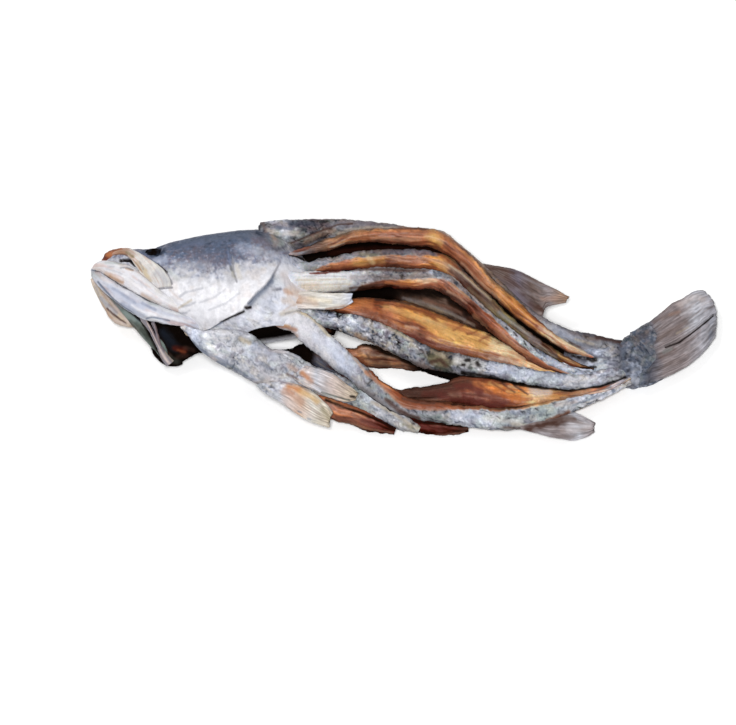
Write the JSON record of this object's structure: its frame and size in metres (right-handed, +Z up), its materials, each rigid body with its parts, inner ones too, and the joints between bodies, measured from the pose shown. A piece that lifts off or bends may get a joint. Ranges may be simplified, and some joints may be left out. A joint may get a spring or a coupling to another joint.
{
  "type": "dried barramundi",
  "caption": "Whole dried salted barramundi, its flanks cut lengthwise into strips joined at shoulder and tail, lying on its side",
  "frame": {"origin": "under the middle of the fish's bounding box, on the surface it lies on", "axes": "+X towards the tail, along the fish's length; +Y towards its back; +Z up, out of its left side"},
  "size_m": [0.6354, 0.2342, 0.08],
  "materials": {
    "dried_fish": "dried skin and flesh, matt to slightly waxy: grey-white scaly skin and amber to red-brown flesh"
  },
  "bodies": {
    "root": {"barramundi": "dried_fish"}
  },
  "joints": []
}
